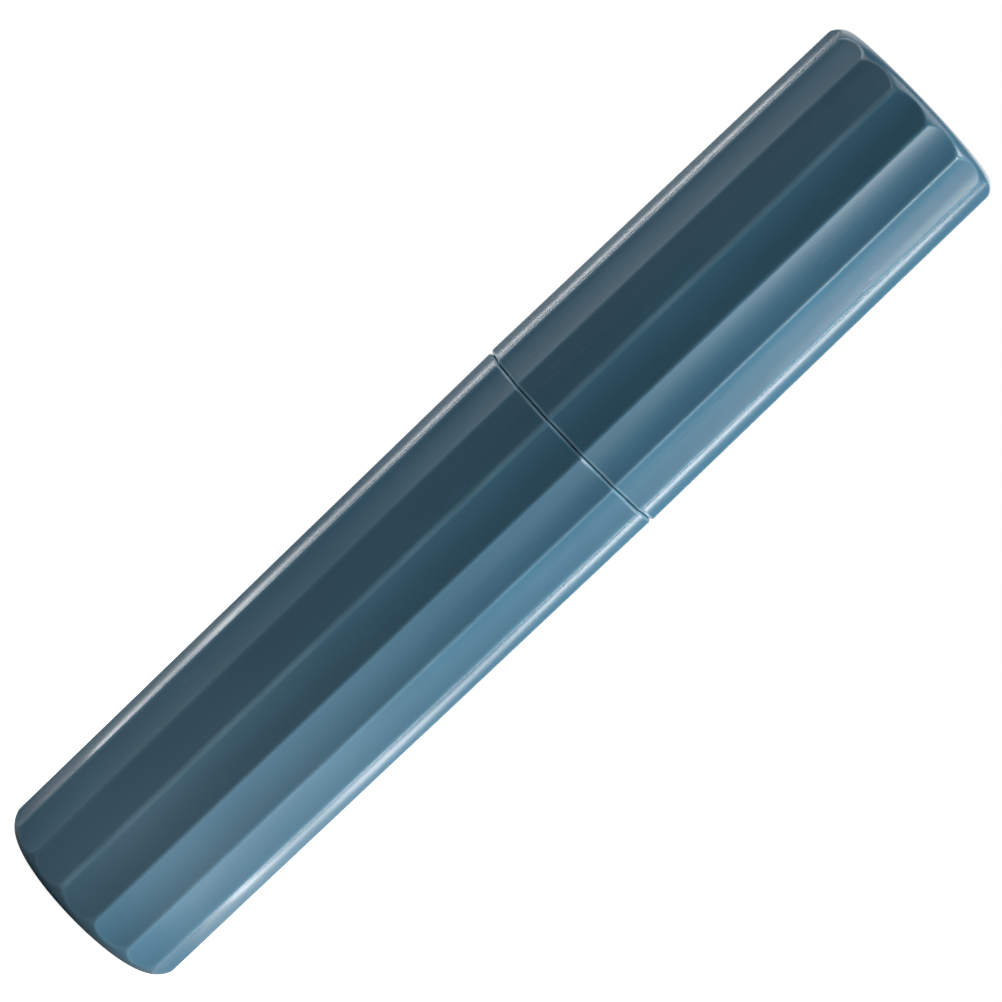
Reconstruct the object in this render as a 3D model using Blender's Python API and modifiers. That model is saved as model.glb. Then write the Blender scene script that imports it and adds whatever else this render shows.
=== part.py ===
"""A travel case for a toothbrush: a long fluted cup and a fluted lid that pushes onto its neck.

It stands upright with the cup down, its axis on Z and its base on z = 0. Lengths are in metres.
Each outer casing is a turned blank with fifteen shallow flutes cut along it, and each holds a smooth
liner. The cup's liner stands out of its casing as a neck, which carries a sealing ring and the lid.
"""

from math import atan2, cos, hypot, pi, radians, sin, sqrt, tau

import bpy

# Outside of the case. Radii are those of the crests, where neighbouring flutes meet, and no rim's edge is
# rounded by more than a share of its wall
CASE_LENGTH = 0.205
CUP_HEIGHT = 0.1206
CUP_RIM_RADIUS = 0.02062
CUP_TAPER = 0.00055
LID_PROUD = 0.00013
LID_TAPER = 0.00058
TOP_ROUND = 0.0038
BASE_ROUND = 0.0046
SEAM_GAP = 0.00045
RIM_EDGE = 0.00045
RIM_EDGE_SHARE = 0.45

# Flutes, the same in number on the cup and the lid. The blank that they cut stands proud of their crests
FLUTE_COUNT = 15
FLUTE_RADIUS = 0.020
BLANK_PROUD = 0.00005

# Walls: a casing's is measured behind the deepest line of a flute, the neck's behind the seal's groove
CUP_CASING_WALL = 0.0013
LID_CASING_WALL = 0.0010
CASING_END_WALL = 0.0016
CUP_LINER_WALL = 0.0016
LID_LINER_WALL = 0.0008
LINER_END_WALL = 0.0012
LINER_ROUND = 0.0030
INSIDE_ROUND = 0.0020

# Ring that the case stands on, round a shallow recess
FOOT_WIDTH = 0.0035
FOOT_RECESS = 0.0006

# Neck and its sealing ring
NECK_HEIGHT = 0.014
NECK_WALL = 0.0006
NECK_LEAD = 0.0005
SEAL_BELOW_TOP = 0.0045
SEAL_HEIGHT = 0.0018
SEAL_THICKNESS = 0.0007
SEAL_PROUD = 0.0001

# Clearances
FIT_GAP = 0.0003
NECK_GAP = 0.00035
SEAL_GAP = 0.0002

# Fineness of the round shapes: the casing has a whole number of facets to a flute
FACETS_PER_FLUTE = 6
CASING_STEPS = FLUTE_COUNT * FACETS_PER_FLUTE
LINER_STEPS = 60
CUTTER_SIDES = 96
ARC_STEPS = 5
END_STEPS = 7
MERGE = 0.00001

# Where the pieces meet, worked out from the outside inwards
LID_RIM_RADIUS = CUP_RIM_RADIUS + LID_PROUD
LID_LENGTH = CASE_LENGTH - CUP_HEIGHT - SEAM_GAP


def flute_axis(crest):
    """Distance from the case's axis to a flute's, where the crests between flutes have this radius."""
    half = pi / FLUTE_COUNT
    return crest * cos(half) + sqrt(FLUTE_RADIUS**2 - (crest * sin(half)) ** 2)


def flute_floor(crest):
    """Radius at the deepest line of the flutes, where the crests have this radius."""
    return flute_axis(crest) - FLUTE_RADIUS


LID_BORE = flute_floor(LID_RIM_RADIUS) - LID_CASING_WALL
LID_LINER_OUTSIDE = LID_BORE - FIT_GAP
LID_LINER_BORE = LID_LINER_OUTSIDE - LID_LINER_WALL
NECK_RADIUS = LID_LINER_BORE - NECK_GAP
NECK_TOP = CUP_HEIGHT + NECK_HEIGHT
CUP_BORE = flute_floor(CUP_RIM_RADIUS) - CUP_CASING_WALL
CUP_LINER_OUTSIDE = CUP_BORE - FIT_GAP
SEAL_OUTSIDE = NECK_RADIUS + SEAL_PROUD
SEAL_INSIDE = SEAL_OUTSIDE - SEAL_THICKNESS
SEAL_CENTRE = NECK_TOP - SEAL_BELOW_TOP
GROOVE_FLOOR = SEAL_INSIDE - SEAL_GAP
NECK_BORE = GROOVE_FLOOR - NECK_WALL


def arc(centre_r, centre_z, radius, start, end, steps=ARC_STEPS):
    """Points of an arc in a turned profile. Angles in degrees, from outwards (0) towards up (90)."""
    turns = [radians(start + (end - start) * i / steps) for i in range(steps + 1)]
    return [(centre_r + radius * cos(t), centre_z + radius * sin(t)) for t in turns]


def collection(name):
    made = bpy.data.collections.new(name)
    bpy.context.scene.collection.children.link(made)
    return made


def material(name, colour, roughness, metallic=0.0):
    made = bpy.data.materials.new(name)
    made.use_nodes = True
    shader = made.node_tree.nodes["Principled BSDF"]
    shader.inputs["Base Color"].default_value = (*colour, 1.0)
    shader.inputs["Roughness"].default_value = roughness
    shader.inputs["Metallic"].default_value = metallic
    made.diffuse_color = (*colour, 1.0)
    return made


def turned(name, profile, steps, look, home, parent=None, closed=False):
    """A solid turned about Z from (radius, height) points that run down its outer side."""
    count = len(profile)
    edges = [(i, i + 1) for i in range(count - 1)]
    if closed:
        edges.append((count - 1, 0))
    mesh = bpy.data.meshes.new(name)
    mesh.from_pydata([(r, 0.0, z) for r, z in profile], edges, [])
    mesh.materials.append(look)
    piece = bpy.data.objects.new(name, mesh)
    home.objects.link(piece)
    piece.parent = parent
    screw = piece.modifiers.new("turn", "SCREW")
    screw.axis = "Z"
    screw.angle = tau
    screw.steps = steps
    screw.render_steps = steps
    screw.use_merge_vertices = True
    screw.merge_threshold = MERGE
    screw.use_smooth_shade = True
    return piece


def cut_flutes(piece, low, high, home):
    """Cut the flutes along a casing, between two (crest radius, height) points in its own frame."""
    low_axis, high_axis = flute_axis(low[0]), flute_axis(high[0])
    rise = high[1] - low[1]
    length = hypot(rise, high_axis - low_axis)
    lean = atan2(high_axis - low_axis, rise)
    middle = (low_axis + high_axis) / 2
    for i in range(FLUTE_COUNT):
        # The first flute faces -Y
        turn = tau * i / FLUTE_COUNT - pi / 2
        bpy.ops.mesh.primitive_cylinder_add(
            vertices=CUTTER_SIDES,
            radius=FLUTE_RADIUS,
            depth=length + 2 * TOP_ROUND,
            location=(middle * cos(turn), middle * sin(turn), (low[1] + high[1]) / 2),
            rotation=(0.0, lean, turn),
        )
        cutter = bpy.context.object
        cutter.name = f"{piece.name}_flute_{i + 1:02d}"
        cutter.parent = piece.parent
        cutter.display_type = "WIRE"
        cutter.hide_render = True
        for owner in cutter.users_collection:
            owner.objects.unlink(cutter)
        home.objects.link(cutter)
        cut = piece.modifiers.new(f"flute {i + 1}", "BOOLEAN")
        cut.operation = "DIFFERENCE"
        cut.solver = "EXACT"
        cut.object = cutter


def soften_edges(piece, wall):
    """Round the square edges of a rim within its wall, and leave the flutes' own edges crisp."""
    bevel = piece.modifiers.new("rim edge", "BEVEL")
    bevel.width = min(RIM_EDGE, RIM_EDGE_SHARE * wall)
    bevel.segments = 2
    bevel.limit_method = "ANGLE"
    bevel.angle_limit = radians(60)


def cup_casing(look, home, cutters):
    base_radius = CUP_RIM_RADIUS - CUP_TAPER
    bore_foot = CUP_BORE - CUP_TAPER
    foot_outside = base_radius + BLANK_PROUD - BASE_ROUND
    foot_inside = foot_outside - FOOT_WIDTH
    profile = [(0.0, CASING_END_WALL)]
    profile += arc(bore_foot - LINER_ROUND, CASING_END_WALL + LINER_ROUND, LINER_ROUND, -90, 0)
    profile += [(CUP_BORE, CUP_HEIGHT), (CUP_RIM_RADIUS + BLANK_PROUD, CUP_HEIGHT)]
    profile += arc(foot_outside, BASE_ROUND, BASE_ROUND, 0, -90, END_STEPS)
    profile += [(foot_inside, 0.0), (foot_inside - FOOT_RECESS, FOOT_RECESS), (0.0, FOOT_RECESS)]
    piece = turned("cup_casing", profile, CASING_STEPS, look, home)
    cut_flutes(piece, (base_radius, 0.0), (CUP_RIM_RADIUS, CUP_HEIGHT), cutters)
    soften_edges(piece, CUP_CASING_WALL)
    return piece


def cup_liner(look, home):
    foot = CASING_END_WALL + FIT_GAP
    outside_foot = CUP_LINER_OUTSIDE - CUP_TAPER
    inside_foot = outside_foot - CUP_LINER_WALL
    floor = foot + LINER_END_WALL
    groove_top = SEAL_CENTRE + SEAL_HEIGHT / 2 + SEAL_GAP
    groove_foot = SEAL_CENTRE - SEAL_HEIGHT / 2 - SEAL_GAP
    profile = [(0.0, floor)]
    profile += arc(inside_foot - INSIDE_ROUND, floor + INSIDE_ROUND, INSIDE_ROUND, -90, 0)
    profile += [(NECK_BORE, NECK_TOP - NECK_LEAD / 2), (NECK_BORE + NECK_LEAD / 2, NECK_TOP)]
    profile += [(NECK_RADIUS - NECK_LEAD / 2, NECK_TOP), (NECK_RADIUS, NECK_TOP - NECK_LEAD)]
    profile += [(NECK_RADIUS, groove_top), (GROOVE_FLOOR, groove_top)]
    profile += [(GROOVE_FLOOR, groove_foot), (NECK_RADIUS, groove_foot)]
    profile += [(NECK_RADIUS, CUP_HEIGHT), (CUP_LINER_OUTSIDE, CUP_HEIGHT)]
    profile += arc(outside_foot - LINER_ROUND, foot + LINER_ROUND, LINER_ROUND, 0, -90)
    profile += [(0.0, foot)]
    return turned("cup_liner", profile, LINER_STEPS, look, home)


def neck_seal(look, home):
    """The ring's outer face is a flat arch, so that it leads the lid on and off."""
    half = SEAL_HEIGHT / 2
    nose = SEAL_THICKNESS / 2
    profile = [(SEAL_INSIDE, half), (SEAL_OUTSIDE - nose, half)]
    profile += [(SEAL_OUTSIDE, half - nose), (SEAL_OUTSIDE, nose - half)]
    profile += [(SEAL_OUTSIDE - nose, -half), (SEAL_INSIDE, -half)]
    piece = turned("neck_seal", profile, LINER_STEPS, look, home, closed=True)
    piece.location.z = SEAL_CENTRE
    return piece


def lid_casing(look, home, cutters, lid_frame):
    top_radius = LID_RIM_RADIUS - LID_TAPER
    bore_top = LID_BORE - LID_TAPER
    ceiling = LID_LENGTH - CASING_END_WALL
    shoulder = top_radius + BLANK_PROUD - TOP_ROUND
    profile = [(0.0, LID_LENGTH)]
    profile += arc(shoulder, LID_LENGTH - TOP_ROUND, TOP_ROUND, 90, 0, END_STEPS)
    profile += [(LID_RIM_RADIUS + BLANK_PROUD, 0.0), (LID_BORE, 0.0)]
    profile += arc(bore_top - LINER_ROUND, ceiling - LINER_ROUND, LINER_ROUND, 0, 90)
    profile += [(0.0, ceiling)]
    piece = turned("lid_casing", profile, CASING_STEPS, look, home, lid_frame)
    cut_flutes(piece, (LID_RIM_RADIUS, 0.0), (top_radius, LID_LENGTH), cutters)
    soften_edges(piece, LID_CASING_WALL)
    return piece


def lid_liner(look, home, lid_frame):
    rim = FIT_GAP - SEAM_GAP
    top = LID_LENGTH - CASING_END_WALL - FIT_GAP
    ceiling = top - LINER_END_WALL
    outside_top = LID_LINER_OUTSIDE - LID_TAPER
    inside_top = outside_top - LID_LINER_WALL
    profile = [(0.0, top)]
    profile += arc(outside_top - LINER_ROUND, top - LINER_ROUND, LINER_ROUND, 90, 0)
    profile += [(LID_LINER_OUTSIDE, rim), (LID_LINER_BORE, rim)]
    profile += [(LID_LINER_BORE, NECK_HEIGHT + FIT_GAP)]
    profile += arc(inside_top - INSIDE_ROUND, ceiling - INSIDE_ROUND, INSIDE_ROUND, 0, 90)
    profile += [(0.0, ceiling)]
    return turned("lid_liner", profile, LINER_STEPS, look, home, lid_frame)


def build():
    for old in list(bpy.data.objects):
        bpy.data.objects.remove(old)
    case = collection("toothbrush_travel_case")
    cutters = collection("cutters")
    blue = material("casing blue plastic", (0.058, 0.128, 0.185), 0.32)
    lining = material("liner blue plastic", (0.040, 0.085, 0.120), 0.45)
    silicone = material("seal silicone", (0.110, 0.150, 0.175), 0.60)

    # The lid's pieces stand on this point of the axis, at the lid's rim
    lid_frame = bpy.data.objects.new("lid_frame", None)
    lid_frame.location.z = CUP_HEIGHT + SEAM_GAP
    case.objects.link(lid_frame)

    cup_casing(blue, case, cutters)
    cup_liner(lining, case)
    neck_seal(silicone, case)
    lid_casing(blue, case, cutters, lid_frame)
    lid_liner(lining, case, lid_frame)


build()
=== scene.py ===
from math import acos, cos, hypot, pi, radians, sin, sqrt, tan, tau

import bpy
import numpy as np
from mathutils import Matrix, Vector


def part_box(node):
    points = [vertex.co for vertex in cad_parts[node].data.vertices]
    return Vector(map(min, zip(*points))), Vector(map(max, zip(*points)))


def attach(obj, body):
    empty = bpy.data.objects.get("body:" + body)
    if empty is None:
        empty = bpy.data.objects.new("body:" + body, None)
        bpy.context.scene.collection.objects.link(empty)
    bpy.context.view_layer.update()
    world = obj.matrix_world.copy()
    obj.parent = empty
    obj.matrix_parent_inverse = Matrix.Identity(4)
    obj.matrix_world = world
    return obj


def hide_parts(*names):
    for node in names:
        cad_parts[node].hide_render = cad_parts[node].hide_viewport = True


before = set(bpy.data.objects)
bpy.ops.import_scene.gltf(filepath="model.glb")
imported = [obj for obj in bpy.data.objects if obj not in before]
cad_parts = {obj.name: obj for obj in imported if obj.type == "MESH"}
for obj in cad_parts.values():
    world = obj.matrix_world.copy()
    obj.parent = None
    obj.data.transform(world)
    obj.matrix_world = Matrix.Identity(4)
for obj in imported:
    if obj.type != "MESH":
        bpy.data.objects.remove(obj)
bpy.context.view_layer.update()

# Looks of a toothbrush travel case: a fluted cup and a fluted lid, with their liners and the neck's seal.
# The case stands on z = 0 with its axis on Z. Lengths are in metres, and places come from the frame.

# Flutes and outer edges of the casings
FLUTE_COUNT = 15
FLUTE_RADIUS = 0.020
BLANK_PROUD = 0.00004
CREST_SOFTNESS = 0.00040
END_SOFTNESS = 0.00014
TOP_ROUND = 0.0038
BASE_ROUND = 0.0046
RIM_BEVEL = 0.00045

# The rims' solids keep apart, but the real rims nearly meet, so their shells close the seam to this gap
SEAM_GAP = 0.0001

# The photograph's lid is turned a little on its neck, seen where its flutes meet the cup's. In degrees
LID_TURN = -1.0

# Wear of the crests, each worn to its own degree, and a painted highlight on the edges where the flutes run
# out
WEAR_SEED = 297
LEAST_CREST_WEAR = 0.1
MOST_CREST_WEAR = 1.0
CREST_WEAR_REACH = 0.00075
# Strength and reach of the painted highlight where the flutes run out on the rounded ends
END_PAINTED_HIGHLIGHT = 0.3
END_HIGHLIGHT_REACH = 0.00030

# Ring that the cup stands on, and the mark that the mould's gate leaves inside it
FOOT_WIDTH = 0.0035
FOOT_RECESS = 0.0006
FOOT_EDGE = 0.0002
GATE_RADIUS = 0.0012
GATE_DEPTH = 0.00025
GATE_EDGE = GATE_DEPTH / 4

# Inside of the casings, and the liners
CASING_END_WALL = 0.0016
LINER_END_WALL = 0.0012
LINER_ROUND = 0.0030
INSIDE_ROUND = 0.0020
BORE_EDGE = 0.0003
LINER_EDGE = 0.00012
NECK_LEAD = 0.0005
GROOVE_GAP = 0.0002
GROOVE_EDGE = 0.00008
SEAL_NOSE = 0.0003

# Fineness of the meshes
FLUTE_STEPS = 14
CREST_CROWDING = 1.9
WALL_RINGS = 26
END_RINGS = 40
RIM_RINGS = 8
BORE_EDGE_STEPS = 4
CROWN_RINGS = 8
CORNER_STEPS = 8
LINER_SIDES = 144

# How far from a height, and from a bend, a solid's corners are looked for
NEAR = 0.0012
CLOSE = 0.0001

# Colours, linear, and surfaces
CASING_COLOUR = (0.0435, 0.1245, 0.187)
CASING_ROUGHNESS = 0.26
CASING_GRAIN_HEIGHT = 0.000003
# Paler colour for the crests' wear, and for painted highlights on the rims' outer edges and where the flutes
# run out
WEAR_AND_HIGHLIGHT_COLOUR = (0.15, 0.30, 0.39)
LINER_COLOUR = (0.030, 0.068, 0.100)
LINER_ROUGHNESS = 0.45
LINER_GRAIN_HEIGHT = 0.000008
SEAL_COLOUR = (0.11, 0.15, 0.175)
SEAL_ROUGHNESS = (0.55, 0.7)
SEAL_GRAIN_HEIGHT = 0.00002
SEAL_GRAIN_SIZE = 0.0002
SEAL_GRAIN_STRENGTH = 0.4
DUST_SHADE = 0.1
DUST_SIZE = 0.0005
SMEAR_SIZE = 0.002

# Patterns of the plastics: clouds of shade, patches in the wear and painted highlights, marks drawn along
# the axis, and a fine grain
CLOUD_SHADE = 0.09
CLOUD_SIZE = 0.026
CLOUD_STRETCH = 1.8
WEAR_AND_HIGHLIGHT_SHARE = (0.5, 1.0)
WEAR_AND_HIGHLIGHT_PATCH = 0.004
WEAR_AND_HIGHLIGHT_STRETCH = 4.0
MARK_ROUGHNESS = 0.015
MARK_SIZE = 0.004
MARK_STRETCH = 8.0
GRAIN_SIZE = 0.00035
GRAIN_STRENGTH = 0.5

# Middle of a noise's range, where most of its values lie
NOISE_RANGE = (0.3, 0.7)

# Room: a white sheet on a floor that lights the case less, though the camera sees both as white
FLOOR_SIZE = 6.0
FLOOR_GAP = 0.0001
SHEET_PAINT = 0.40
SHEET_RADIUS = 0.43
FLOOR_PAINT = 0.05
FLOOR_RADIUS = 0.50
ROOM_LIGHT = 0.02
CAMERA_WHITE = 1.0

# Lamps round the case, at one distance but for the one on top, and turned to a point on its axis
LIGHT_DISTANCE = 0.9
LIGHT_AIM = 0.11

# Lamps on the floor: strips behind the case, each a narrow start and a wider rest, and patches on the sheet
FLOOR_LAMP_HEIGHT = 0.002
STRIP_START = 0.10
STRIP_WIDENS = 0.30
STRIP_END = 0.85
STRIP_START_WIDTH = 0.02
STRIP_REST_WIDTH = 0.08
PATCH_START = 0.05
PATCH_END = 0.45
PATCH_WIDTH = 0.2

# Camera, and the picture that its focal length is given for
PICTURE_SIZE = 1002
FOCAL_PIXELS = 4076
SENSOR_WIDTH = 36.0
CAMERA_DISTANCE = 0.7187
CAMERA_HEIGHT = 0.1615
CAMERA_AZIMUTH = 1.3
CAMERA_YAW = -0.025
CAMERA_PITCH = -4.589
CAMERA_ROLL = 46.34
CLIP_START = 0.01
CLIP_END = 20.0


def radii(node, low, high):
    """Smallest and largest distance from the axis of a solid's corners between two heights."""
    corners = [v.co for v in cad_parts[node].data.vertices]
    found = [hypot(c.x, c.y) for c in corners if low <= c.z <= high]
    return min(found), max(found)


CUP_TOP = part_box("cup_casing")[1].z
CUP_BORE, CUP_RIM = radii("cup_casing", CUP_TOP - NEAR, CUP_TOP)
CUP_BASE = radii("cup_casing", BASE_ROUND - NEAR, BASE_ROUND + NEAR)[1]
LID_FOOT, LID_TOP = (corner.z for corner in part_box("lid_casing"))
LID_BORE, LID_RIM = radii("lid_casing", LID_FOOT, LID_FOOT + NEAR)
RIM_REACH = (LID_FOOT - CUP_TOP - SEAM_GAP) / 2
RIM_EDGE = RIM_BEVEL + RIM_REACH
LID_CROWN = radii("lid_casing", LID_TOP - TOP_ROUND - NEAR, LID_TOP - TOP_ROUND + NEAR)[1]
LINER_FOOT, NECK_TOP = (corner.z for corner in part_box("cup_liner"))
NECK_BORE, NECK_RADIUS = radii("cup_liner", NECK_TOP - NEAR, NECK_TOP)
LINER_RIM = radii("cup_liner", CUP_TOP - NEAR, CUP_TOP + NEAR)[1]
LINER_BASE = radii("cup_liner", LINER_FOOT, LINER_FOOT + LINER_ROUND + NEAR)[1]
INSIDE_BEND = LINER_FOOT + LINER_END_WALL + INSIDE_ROUND
INSIDE_BASE = radii("cup_liner", INSIDE_BEND - CLOSE, INSIDE_BEND + CLOSE)[0]
SEAL_FOOT, SEAL_TOP = (corner.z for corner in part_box("neck_seal"))
SEAL_INSIDE, SEAL_OUTSIDE = radii("neck_seal", SEAL_FOOT, SEAL_TOP)
LID_LINER_RIM, LID_LINER_TOP = (corner.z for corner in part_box("lid_liner"))
LID_LINER_BORE, LID_LINER_OUTSIDE = radii("lid_liner", LID_LINER_RIM, LID_LINER_RIM + NEAR)
LID_INSIDE_BEND = LID_LINER_TOP - LINER_END_WALL - INSIDE_ROUND
LID_INSIDE_TOP = radii("lid_liner", LID_INSIDE_BEND - CLOSE, LID_INSIDE_BEND + CLOSE)[0]
LID_LINER_SHOULDER = LID_LINER_TOP - LINER_ROUND
LID_LINER_CROWN = radii("lid_liner", LID_LINER_SHOULDER - CLOSE, LID_LINER_SHOULDER + CLOSE)[1]


def flute_turns():
    """Azimuths all round, crowded towards the crests. The middle of the first flute faces -Y."""
    half = pi / FLUTE_COUNT
    share = [1 - (1 - i / FLUTE_STEPS) ** CREST_CROWDING for i in range(FLUTE_STEPS + 1)]
    steps = [-s for s in reversed(share[1:-1])] + share
    return np.array([2 * half * k - pi / 2 + half * s for k in range(FLUTE_COUNT) for s in steps])


def crest_wear(turns):
    """How worn the crest nearest to each azimuth is."""
    each = np.random.default_rng(WEAR_SEED).uniform(LEAST_CREST_WEAR, MOST_CREST_WEAR, FLUTE_COUNT)
    return each[np.floor((turns + pi / 2) * FLUTE_COUNT / tau).astype(int) % FLUTE_COUNT]


FLUTE_TURNS = flute_turns()
CREST_WEAR = crest_wear(FLUTE_TURNS)
ROUND_TURNS = np.arange(LINER_SIDES) * tau / LINER_SIDES


def along(low, high, height):
    """Radius at a height, on the straight line through two (radius, height) points."""
    return low[0] + (high[0] - low[0]) * (height - low[1]) / (high[1] - low[1])


def smaller(a, b, softness):
    """The smaller of two numbers, rounded off where they differ by less than softness."""
    return np.minimum(a, b) - np.maximum(softness - np.abs(a - b), 0.0) ** 2 / (4 * softness)


def near(gap, reach):
    """1 where two surfaces meet, and less as they part, down to 0 where their radii differ by reach."""
    return np.clip(1 - gap / reach, 0.0, 1.0)


def fluted(crest, blank):
    """Radius of a wall at each azimuth, and its wear on the crests and painted highlight at the ends, 0 to
    1.

    The wall is the inner of a round blank and of flutes that meet in crests of their own radius.
    """
    half = pi / FLUTE_COUNT
    axis = crest * cos(half) + sqrt(FLUTE_RADIUS**2 - (crest * sin(half)) ** 2)
    off = np.abs((FLUTE_TURNS + pi / 2 + half) % (2 * half) - half)
    flute, neighbour = (
        axis * np.cos(turn) - np.sqrt(FLUTE_RADIUS**2 - (axis * np.sin(turn)) ** 2)
        for turn in (off, 2 * half - off)
    )
    wall = smaller(flute, neighbour, CREST_SOFTNESS)
    past_crest = neighbour - flute
    on_crest = CREST_WEAR * near(past_crest, CREST_WEAR_REACH) * near(wall - blank, END_HIGHLIGHT_REACH)
    # Painted highlight: paler along the edges where the flutes run out onto the rounded ends
    painted_end_highlight = near(np.abs(wall - blank), END_HIGHLIGHT_REACH) * (1 - near(past_crest, END_HIGHLIGHT_REACH))
    return smaller(wall, blank, END_SOFTNESS), np.maximum(on_crest, END_PAINTED_HIGHLIGHT * painted_end_highlight)


def arc(centre, radius, start, end, steps):
    """(radius, height) points of an arc. Angles in degrees, from outwards (0) towards up (90)."""
    turns = [radians(start + (end - start) * i / steps) for i in range(steps + 1)]
    return [(centre[0] + radius * cos(t), centre[1] + radius * sin(t)) for t in turns]


def eased(start, end, steps):
    """Numbers between two ends, crowded towards both, with the ends left out."""
    return [start + (end - start) * (1 - cos(pi * i / steps)) / 2 for i in range(1, steps)]


def rounded(corners):
    """A profile through (radius, height, rounding) corners, each rounded by an arc that meets both sides."""
    points = []
    for i, (r, z, rounding) in enumerate(corners):
        here = np.array((r, z))
        if not rounding:
            points.append((r, z))
            continue
        back = np.array(corners[i - 1][:2]) - here
        on = np.array(corners[(i + 1) % len(corners)][:2]) - here
        back, on = back / np.linalg.norm(back), on / np.linalg.norm(on)
        half = acos(float(back @ on)) / 2
        centre = here + (back + on) / np.linalg.norm(back + on) * rounding / sin(half)
        first = here + back * rounding / tan(half) - centre
        last = here + on * rounding / tan(half) - centre
        span = pi - 2 * half
        for k in range(CORNER_STEPS + 1):
            share = k / CORNER_STEPS
            spoke = (first * sin((1 - share) * span) + last * sin(share * span)) / sin(span)
            points.append(tuple(centre + spoke))
    return points


def put(name, data):
    """A new object in the scene."""
    made = bpy.data.objects.new(name, data)
    bpy.context.scene.collection.objects.link(made)
    return made


def skin(name, rings, turns, look, closed=False):
    """A mesh over rings of (radius, height, wear and painted highlight) that run down its outer side. Radius
    0 is a point.
    """
    circle = np.stack([np.cos(turns), np.sin(turns)], axis=1)
    points, wear_and_highlight, starts, faces = [], [], [], []
    for radius, height, worn_and_highlit in rings:
        size = len(turns) if np.max(radius) > 0 else 1
        starts.append((len(points), size))
        flat = circle[:size] * np.broadcast_to(radius, len(turns))[:size, None]
        points += [(x, y, height) for x, y in flat]
        wear_and_highlight += list(np.broadcast_to(worn_and_highlit, len(turns))[:size])
    pairs = list(zip(starts, starts[1:]))
    if closed:
        pairs.append((starts[-1], starts[0]))
    for (upper, upper_size), (lower, lower_size) in pairs:
        for i in range(len(turns)):
            j = (i + 1) % len(turns)
            if upper_size == 1:
                faces.append((upper, lower + i, lower + j))
            elif lower_size == 1:
                faces.append((lower, upper + j, upper + i))
            else:
                faces.append((upper + i, lower + i, lower + j, upper + j))
    mesh = bpy.data.meshes.new(name)
    mesh.from_pydata(points, [], faces)
    mesh.attributes.new("edge_wear_and_highlight", "FLOAT", "POINT").data.foreach_set("value", wear_and_highlight)
    mesh.shade_smooth()
    mesh.materials.append(look)
    return put(name, mesh)


def plain(profile):
    """Round rings with neither wear nor painted highlight, from (radius, height) points."""
    return [(r, z, 0.0) for r, z in profile]


def wall_rings(low, high, heights):
    """Rings of a fluted wall, whose crests run from low to high, cut from a blank just proud of them."""
    rings = []
    for z in heights:
        crest = along(low, high, z)
        radius, wear_and_highlight = fluted(crest, crest + BLANK_PROUD)
        rings.append((radius, z, wear_and_highlight))
    return rings


def end_rings(low, high, profile):
    """Rings where the flutes run out on the blank's rounded end."""
    rings = []
    for blank, z in profile:
        radius, wear_and_highlight = fluted(along(low, high, z), blank)
        rings.append((radius, z, wear_and_highlight))
    return rings


def rim_rings(low, high, rim, up, bore):
    """Rings from a fluted wall round the outer edge of its rim to the bore.

    up is 1 if the rim is on top, and -1 if it is underneath.
    """
    rings = []
    for k in range(RIM_RINGS + 1):
        turn = pi / 2 * k / RIM_RINGS
        z = rim - up * RIM_EDGE * (1 - sin(turn))
        crest = along(low, high, z)
        radius, wear_and_highlight = fluted(crest, crest + BLANK_PROUD)
        # The rim's rounded outer edge is paler towards its middle: a painted highlight
        rings.append((radius - RIM_EDGE * (1 - cos(turn)), z, np.maximum(wear_and_highlight, sin(2 * turn))))
    inner = arc((bore + BORE_EDGE, rim - up * BORE_EDGE), BORE_EDGE, 90 * up, 180 * up, BORE_EDGE_STEPS)
    return rings + plain(inner)


def lid_shell(look):
    """The lid's fluted casing, from the middle of its top down to the rim and up inside."""
    shoulder, flat = LID_TOP - TOP_ROUND, LID_CROWN + BLANK_PROUD - TOP_ROUND
    low, high = (LID_RIM, LID_FOOT), (LID_CROWN, shoulder)
    ceiling, end = LID_TOP - CASING_END_WALL, LID_BORE - (LID_RIM - LID_CROWN)
    inside = [(LID_BORE, LID_FOOT + 2 * BORE_EDGE, 0), (end, ceiling, LINER_ROUND), (0.0, ceiling, 0)]
    rings = plain([(0.0, LID_TOP)] + [(r, LID_TOP) for r in eased(0.0, flat, CROWN_RINGS)])
    rings += end_rings(low, high, arc((flat, shoulder), TOP_ROUND, 90, 0, END_RINGS))
    rings += wall_rings(low, high, eased(shoulder, LID_FOOT + RIM_BEVEL, WALL_RINGS))
    rings += rim_rings(low, high, LID_FOOT - RIM_REACH, -1, LID_BORE)
    rings += plain(rounded(inside))
    return skin("lid_shell", rings, FLUTE_TURNS + radians(LID_TURN), look)


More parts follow.
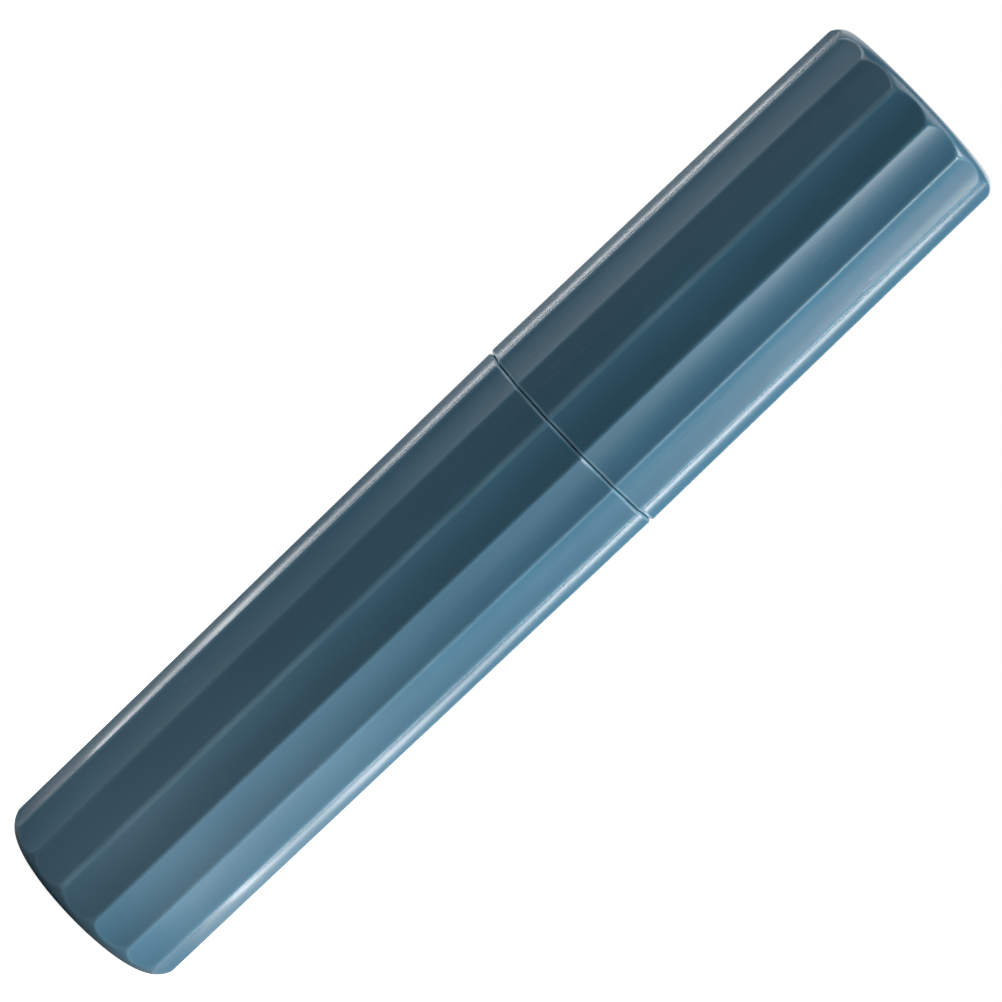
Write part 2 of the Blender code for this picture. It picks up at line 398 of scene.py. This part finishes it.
def cup_shell(look):
    """The cup's fluted casing, from the middle of its floor up inside, over the rim, down and under."""
    low, high = (CUP_BASE, BASE_ROUND), (CUP_RIM, CUP_TOP)
    foot, end = CUP_BASE + BLANK_PROUD - BASE_ROUND, CUP_BORE - (CUP_RIM - CUP_BASE)
    inside = [(0.0, CASING_END_WALL, 0), (end, CASING_END_WALL, LINER_ROUND)]
    inside += [(CUP_BORE, CUP_TOP - 2 * BORE_EDGE, 0)]
    step = foot - FOOT_WIDTH
    under = [(foot - FOOT_EDGE, 0.0, 0), (step, 0.0, FOOT_EDGE)]
    under += [(step - FOOT_RECESS, FOOT_RECESS, FOOT_EDGE)]
    under += [(GATE_RADIUS + GATE_DEPTH, FOOT_RECESS, GATE_EDGE)]
    under += [(GATE_RADIUS, FOOT_RECESS + GATE_DEPTH, GATE_EDGE), (0.0, FOOT_RECESS + GATE_DEPTH, 0)]
    rings = plain(rounded(inside))
    rings += list(reversed(rim_rings(low, high, CUP_TOP + RIM_REACH, 1, CUP_BORE)))
    rings += wall_rings(low, high, eased(CUP_TOP - RIM_BEVEL, BASE_ROUND, WALL_RINGS))
    rings += end_rings(low, high, arc((foot, BASE_ROUND), BASE_ROUND, 0, -90, END_RINGS))
    rings += plain(rounded(under))
    return skin("cup_shell", rings, FLUTE_TURNS, look)


def cup_lining(look):
    """The cup's liner, from the middle of its floor up inside, over the neck's lip and down outside."""
    floor = LINER_FOOT + LINER_END_WALL
    corners = [(0.0, floor, 0), (INSIDE_BASE, floor, INSIDE_ROUND)]
    corners += [(NECK_BORE, NECK_TOP, NECK_LEAD / 2), (NECK_RADIUS, NECK_TOP, NECK_LEAD)]
    groove = SEAL_INSIDE - GROOVE_GAP
    for radius, height in (
        (NECK_RADIUS, SEAL_TOP + GROOVE_GAP),
        (groove, SEAL_TOP + GROOVE_GAP),
        (groove, SEAL_FOOT - GROOVE_GAP),
        (NECK_RADIUS, SEAL_FOOT - GROOVE_GAP),
    ):
        corners.append((radius, height, GROOVE_EDGE))
    corners += [(NECK_RADIUS, CUP_TOP, LINER_EDGE), (LINER_RIM, CUP_TOP, LINER_EDGE)]
    corners += [(LINER_BASE, LINER_FOOT, LINER_ROUND), (0.0, LINER_FOOT, 0)]
    return skin("cup_lining", plain(rounded(corners)), ROUND_TURNS, look)


def seal_ring(look):
    """The sealing ring in the neck's groove, with a rounded nose."""
    corners = [(SEAL_INSIDE, SEAL_TOP, GROOVE_EDGE), (SEAL_OUTSIDE, SEAL_TOP, SEAL_NOSE)]
    corners += [(SEAL_OUTSIDE, SEAL_FOOT, SEAL_NOSE), (SEAL_INSIDE, SEAL_FOOT, GROOVE_EDGE)]
    return skin("seal_ring", plain(rounded(corners)), ROUND_TURNS, look, closed=True)


def lid_lining(look):
    """The lid's liner, from the middle of its top down outside, round the rim and up its stepped bore."""
    corners = [(0.0, LID_LINER_TOP, 0), (LID_LINER_CROWN, LID_LINER_TOP, LINER_ROUND)]
    corners += [(LID_LINER_OUTSIDE, LID_LINER_RIM, LINER_EDGE), (LID_LINER_BORE, LID_LINER_RIM, LINER_EDGE)]
    corners += [(LID_LINER_BORE, NECK_TOP + GROOVE_GAP, 0)]
    ceiling = LID_LINER_TOP - LINER_END_WALL
    corners += [(LID_INSIDE_TOP, ceiling, INSIDE_ROUND), (0.0, ceiling, 0)]
    return skin("lid_lining", plain(rounded(corners)), ROUND_TURNS, look)


def feed(tree, value, socket):
    """Links a node's output to an input, or sets the input to a plain value."""
    if isinstance(value, bpy.types.NodeSocket):
        tree.links.new(value, socket)
    else:
        socket.default_value = value


def add(tree, kind, settings=None, **sockets):
    """A new shader node. settings are its own properties, and sockets are input values or links by name."""
    made = tree.nodes.new(kind)
    for name, value in (settings or {}).items():
        setattr(made, name, value)
    for name, value in sockets.items():
        feed(tree, value, next(s for s in made.inputs if s.name == name.replace("_", " ") and s.enabled))
    return made


def noise(tree, grain, detail=2.0, stretch=1.0):
    """Noise with grains of this size in metres, drawn out along the case's axis by stretch."""
    coords = add(tree, "ShaderNodeTexCoord").outputs["Object"]
    scale = (1 / grain, 1 / grain, 1 / grain / stretch)
    placed = add(tree, "ShaderNodeMapping", Vector=coords, Scale=scale).outputs["Vector"]
    return add(tree, "ShaderNodeTexNoise", Vector=placed, Scale=1.0, Detail=detail).outputs["Fac"]


def spread(tree, value, low, high):
    """Takes the middle of a noise's range to a range of numbers."""
    least, most = NOISE_RANGE
    made = add(tree, "ShaderNodeMapRange", From_Min=least, From_Max=most, To_Min=low, To_Max=high)
    feed(tree, value, made.inputs["Value"])
    return made.outputs["Result"]


def product(tree, a, b):
    """Two numbers multiplied, each a link or a plain number."""
    made = add(tree, "ShaderNodeMath", {"operation": "MULTIPLY"})
    feed(tree, a, made.inputs[0])
    feed(tree, b, made.inputs[1])
    return made.outputs[0]


def mixed(tree, share, a, b):
    """Colour a where share is 0 and b where it is 1. A colour is a link or three linear numbers."""
    made = add(tree, "ShaderNodeMix", {"data_type": "RGBA"})
    tree.links.new(share, made.inputs["Factor"])
    colours = [s for s in made.inputs if s.type == "RGBA"]
    for socket, value in zip(colours, (a, b)):
        if not isinstance(value, bpy.types.NodeSocket):
            value = (*value, 1.0)
        feed(tree, value, socket)
    return next(s for s in made.outputs if s.type == "RGBA")


def new_look(name):
    """A new material, its node tree and the shader in it."""
    look = bpy.data.materials.new(name)
    look.use_nodes = True
    return look, look.node_tree, look.node_tree.nodes["Principled BSDF"]


def roughen(tree, shader, grain, height, strength):
    """Gives a surface a fine grain, of this size and height."""
    bump = add(tree, "ShaderNodeBump", Strength=strength, Distance=height, Height=noise(tree, grain))
    tree.links.new(bump.outputs["Normal"], shader.inputs["Normal"])


def plastic(name, colour, rough, grain_height, worn_and_highlit=None):
    """Moulded plastic: clouds of shade, marks drawn along the axis, a fine grain, and paler edges from wear
    and painted highlights.
    """
    look, tree, shader = new_look(name)
    darker, lighter = ([c * (1 + shift) for c in colour] for shift in (-CLOUD_SHADE, CLOUD_SHADE))
    clouds = spread(tree, noise(tree, CLOUD_SIZE, detail=3.0, stretch=CLOUD_STRETCH), 0.0, 1.0)
    base = mixed(tree, clouds, darker, lighter)
    if worn_and_highlit:
        # Paler where the mesh marks it: wear on the crests, painted highlights on the rims' outer edges and
        # where the flutes run out
        edges = add(tree, "ShaderNodeAttribute", {"attribute_name": "edge_wear_and_highlight"}).outputs["Fac"]
        patches = spread(tree, noise(tree, WEAR_AND_HIGHLIGHT_PATCH, detail=3.0, stretch=WEAR_AND_HIGHLIGHT_STRETCH), *WEAR_AND_HIGHLIGHT_SHARE)
        base = mixed(tree, product(tree, edges, patches), base, worn_and_highlit)
    tree.links.new(base, shader.inputs["Base Color"])
    marks = noise(tree, MARK_SIZE, stretch=MARK_STRETCH)
    marked = spread(tree, marks, rough - MARK_ROUGHNESS, rough + MARK_ROUGHNESS)
    tree.links.new(marked, shader.inputs["Roughness"])
    roughen(tree, shader, GRAIN_SIZE, grain_height, GRAIN_STRENGTH)
    return look


def silicone(name, colour):
    """Soft silicone: matt, with fine specks of dust in its surface."""
    look, tree, shader = new_look(name)
    dusty = [c + DUST_SHADE for c in colour]
    specks = spread(tree, noise(tree, DUST_SIZE, detail=4.0), 0.0, 1.0)
    tree.links.new(mixed(tree, specks, colour, dusty), shader.inputs["Base Color"])
    tree.links.new(spread(tree, noise(tree, SMEAR_SIZE), *SEAL_ROUGHNESS), shader.inputs["Roughness"])
    roughen(tree, shader, SEAL_GRAIN_SIZE, SEAL_GRAIN_HEIGHT, SEAL_GRAIN_STRENGTH)
    return look


def dress_case():
    """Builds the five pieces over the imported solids, each riding on its body."""
    casing = plastic("casing plastic", CASING_COLOUR, CASING_ROUGHNESS, CASING_GRAIN_HEIGHT, WEAR_AND_HIGHLIGHT_COLOUR)
    liner = plastic("liner plastic", LINER_COLOUR, LINER_ROUGHNESS, LINER_GRAIN_HEIGHT)
    rubber = silicone("seal silicone", SEAL_COLOUR)
    for piece, node, body, slot in (
        (cup_shell(casing), "cup_casing", "cup", "casing"),
        (cup_lining(liner), "cup_liner", "cup", "liner"),
        (seal_ring(rubber), "neck_seal", "seal", "seal"),
        (lid_shell(casing), "lid_casing", "lid", "casing"),
        (lid_lining(liner), "lid_liner", "lid", "liner"),
    ):
        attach(piece, body)
        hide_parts(node)


def place_camera():
    """The photograph's view: from in front, level with the lid, with the camera tipped halfway over."""
    about = Matrix.Rotation(radians(CAMERA_AZIMUTH), 3, "Z")
    yaw, pitch, roll = radians(CAMERA_YAW), radians(CAMERA_PITCH), radians(CAMERA_ROLL)
    ahead = about @ Vector((sin(yaw) * cos(pitch), cos(yaw) * cos(pitch), sin(pitch)))
    right = about @ Vector((cos(yaw), -sin(yaw), 0.0))
    up = right.cross(ahead)
    across = right * cos(roll) + up * sin(roll)
    upright = up * cos(roll) - right * sin(roll)
    data = bpy.data.cameras.new("camera")
    data.sensor_width = SENSOR_WIDTH
    data.lens = FOCAL_PIXELS * SENSOR_WIDTH / PICTURE_SIZE
    data.clip_start, data.clip_end = CLIP_START, CLIP_END
    camera = put("camera", data)
    turned = Matrix((across, upright, -ahead)).transposed()
    place = about @ Vector((0.0, -CAMERA_DISTANCE, CAMERA_HEIGHT))
    camera.matrix_world = Matrix.Translation(place) @ turned.to_4x4()
    bpy.context.scene.camera = camera


def floor_look():
    """White to the camera. To the case it is a pale sheet round its foot, on a dark floor."""
    look = bpy.data.materials.new("floor white")
    look.use_nodes = True
    tree = look.node_tree
    tree.nodes.clear()
    middle = add(tree, "ShaderNodeVectorMath", {"operation": "LENGTH"})
    tree.links.new(add(tree, "ShaderNodeTexCoord").outputs["Object"], middle.inputs[0])
    shade = add(
        tree,
        "ShaderNodeMapRange",
        Value=middle.outputs["Value"],
        From_Min=SHEET_RADIUS,
        From_Max=FLOOR_RADIUS,
        To_Min=SHEET_PAINT,
        To_Max=FLOOR_PAINT,
    )
    paint = add(tree, "ShaderNodeBsdfDiffuse", Color=shade.outputs["Result"]).outputs[0]
    glow = add(tree, "ShaderNodeEmission", Strength=CAMERA_WHITE).outputs[0]
    lit = add(tree, "ShaderNodeAddShader")
    tree.links.new(paint, lit.inputs[0])
    tree.links.new(glow, lit.inputs[1])
    seen = add(tree, "ShaderNodeLightPath").outputs["Is Camera Ray"]
    either = add(tree, "ShaderNodeMixShader", Fac=seen)
    tree.links.new(paint, either.inputs[1])
    tree.links.new(lit.outputs[0], either.inputs[2])
    out = add(tree, "ShaderNodeOutputMaterial")
    tree.links.new(either.outputs[0], out.inputs["Surface"])
    return look


def white_floor():
    """The pale floor under the case."""
    half = FLOOR_SIZE / 2
    corners = [(-half, -half, 0), (half, -half, 0), (half, half, 0), (-half, half, 0)]
    mesh = bpy.data.meshes.new("floor")
    mesh.from_pydata(corners, [], [(0, 1, 2, 3)])
    mesh.materials.append(floor_look())
    floor = put("floor", mesh)
    floor.location.z = -FLOOR_GAP


def white_room():
    """A room that is white to the camera and nearly dark to the case."""
    world = bpy.data.worlds.new("room")
    world.use_nodes = True
    bpy.context.scene.world = world
    tree = world.node_tree
    tree.nodes.clear()
    seen = add(tree, "ShaderNodeLightPath").outputs["Is Camera Ray"]
    strength = add(tree, "ShaderNodeMix", Factor=seen, A=ROOM_LIGHT, B=CAMERA_WHITE)
    sky = add(tree, "ShaderNodeBackground", Color=(1.0, 1.0, 1.0, 1.0), Strength=strength.outputs["Result"])
    out = add(tree, "ShaderNodeOutputWorld")
    tree.links.new(sky.outputs[0], out.inputs["Surface"])


def area_light(name, width, tall, power):
    """A rectangular lamp that the camera doesn't see."""
    data = bpy.data.lights.new(name, "AREA")
    data.shape = "RECTANGLE"
    data.size, data.size_y = width, tall
    data.energy = power
    lamp = put(name, data)
    lamp.visible_camera = False
    return lamp


def place_round(azimuth, distance, height):
    """A place round the case. Azimuth 0 is in front, at -Y, and 90 is to the right, at +X."""
    turn = radians(azimuth)
    return Vector((distance * sin(turn), -distance * cos(turn), height))


def softbox(name, azimuth, height, distance, width, tall, power, mirrored=True):
    """A lamp that faces the case. One that isn't mirrored lights the case and leaves no glare on it."""
    lamp = area_light(name, width, tall, power)
    lamp.location = place_round(azimuth, distance, height)
    lamp.rotation_mode = "QUATERNION"
    lamp.rotation_quaternion = (Vector((0.0, 0.0, LIGHT_AIM)) - lamp.location).to_track_quat("-Z", "Y")
    lamp.visible_glossy = mirrored


def floor_lamp(name, azimuth, start, end, width, power, lighting=True):
    """A lamp that lies on the floor and faces up, from start to end out from the case's axis.

    The lower part of the case mirrors it. One that isn't lighting does nothing else.
    """
    lamp = area_light(name, width, end - start, power)
    lamp.location = place_round(azimuth, (start + end) / 2, FLOOR_LAMP_HEIGHT)
    lamp.rotation_euler = (pi, 0.0, radians(azimuth))
    lamp.visible_diffuse = lighting


def light_case():
    """Soft studio light, most of it from the right, with narrow rims from behind for the two outlines.

    The hazes and the lamps on the floor are weak, and are there to be mirrored by the flutes.
    """
    # Name, azimuth in degrees, height above the floor, the lamp's own width and height, and power in watts
    for name, azimuth, height, width, tall, power in (
        ("key", 90, 1.2, 0.3, 0.4, 5.5),
        ("side", 70, 0.45, 0.3, 0.22, 4.5),
        ("side_low", 70, 0.25, 0.3, 0.18, 1.1),
        ("side_back", 110, 0.45, 0.3, 0.22, 0.6),
        ("fill_front", -60, 0.62, 0.6, 0.6, 2.0),
        ("fill", -100, 0.62, 0.6, 0.6, 3.2),
        ("fill_low", -110, 0.13, 0.9, 0.25, 0.5),
        ("back_right", 170, 0.62, 0.3, 0.6, 0.94),
        ("back_left", -160, 0.62, 0.6, 0.6, 1.04),
        ("back_low", -168, 0.12, 0.25, 0.26, 0.2),
        ("rim_right", 145.5, 0.12, 0.08, 0.26, 0.52),
        ("rim_left", -148, 0.12, 0.08, 0.26, 0.33),
        ("haze_right", 55, 0.13, 0.2, 0.35, 0.25),
        ("haze_side", 97, 0.13, 0.3, 0.26, 0.2),
        ("haze_left", -38, 0.15, 0.35, 0.35, 0.12),
    ):
        softbox(name, azimuth, height, LIGHT_DISTANCE, width, tall, power)
    softbox("side_matt", 90, 0.25, LIGHT_DISTANCE, width=0.3, tall=0.18, power=7.4, mirrored=False)
    softbox("top", 0, height=1.1, distance=0.05, width=0.7, tall=0.7, power=4.6)
    for side, azimuth, start_power, rest_power in (
        ("right", 140.5, 0.045, 0.6),
        ("left", -146, 0.035, 0.42),
    ):
        floor_lamp("strip_near_" + side, azimuth, STRIP_START, STRIP_WIDENS, STRIP_START_WIDTH, start_power)
        floor_lamp("strip_far_" + side, azimuth, STRIP_WIDENS, STRIP_END, STRIP_REST_WIDTH, rest_power)
    for side, azimuth, power in (("front", 48, 0.15), ("side", 97, 0.17)):
        floor_lamp("sheet_" + side, azimuth, PATCH_START, PATCH_END, PATCH_WIDTH, power, lighting=False)


dress_case()
place_camera()
white_floor()
white_room()
light_case()
bpy.context.scene.view_settings.view_transform = "Standard"
